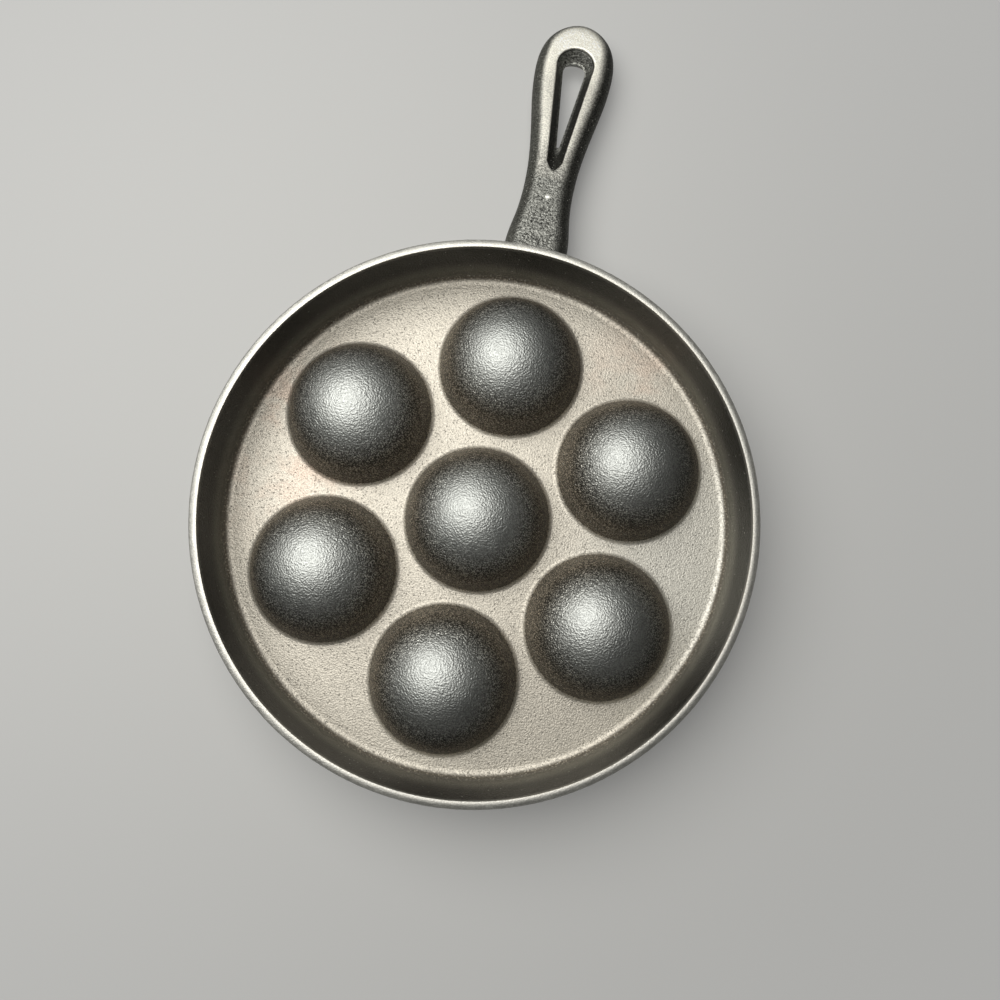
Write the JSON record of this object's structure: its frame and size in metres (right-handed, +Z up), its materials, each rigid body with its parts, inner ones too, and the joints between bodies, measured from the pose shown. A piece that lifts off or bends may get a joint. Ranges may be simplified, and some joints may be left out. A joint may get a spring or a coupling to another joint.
{
  "type": "ball pancake pan",
  "caption": "Round cast-iron pan with ball-shaped wells, a deep skirt round their backs and a looped handle, lying upside down with its cooking side facing the table.",
  "frame": {"origin": "on the pan's round axis, in the plane that the cooking-side lip rests on; the pan lies upside down, cooking side facing down, as in the picture", "axes": "+Z up, out of the underside that the hob heats; +Y out along the handle; +X to the right seen from above"},
  "size_m": [0.23, 0.3554, 0.042],
  "materials": {
    "seasoned_iron": "oil-seasoned black iron with a fine pebbly sand-cast grain and a soft satin sheen",
    "plate_iron": "lighter warm grey-brown seasoned iron with sandy grain and a faint rusty tint",
    "ground_iron": "bare ground iron on the ring's flat, rough and darker on its outer edge"
  },
  "bodies": {
    "root": {"griddle_plate": "plate_iron", "centre_well": "seasoned_iron", "outer_well_1": "seasoned_iron", "outer_well_2": "seasoned_iron", "outer_well_3": "seasoned_iron", "outer_well_4": "seasoned_iron", "outer_well_5": "seasoned_iron", "outer_well_6": "seasoned_iron", "skirt_wall": "seasoned_iron", "hob_ring": "ground_iron", "cooking_lip": "seasoned_iron", "handle_neck": "seasoned_iron", "handle_loop": "seasoned_iron"}
  },
  "joints": []
}
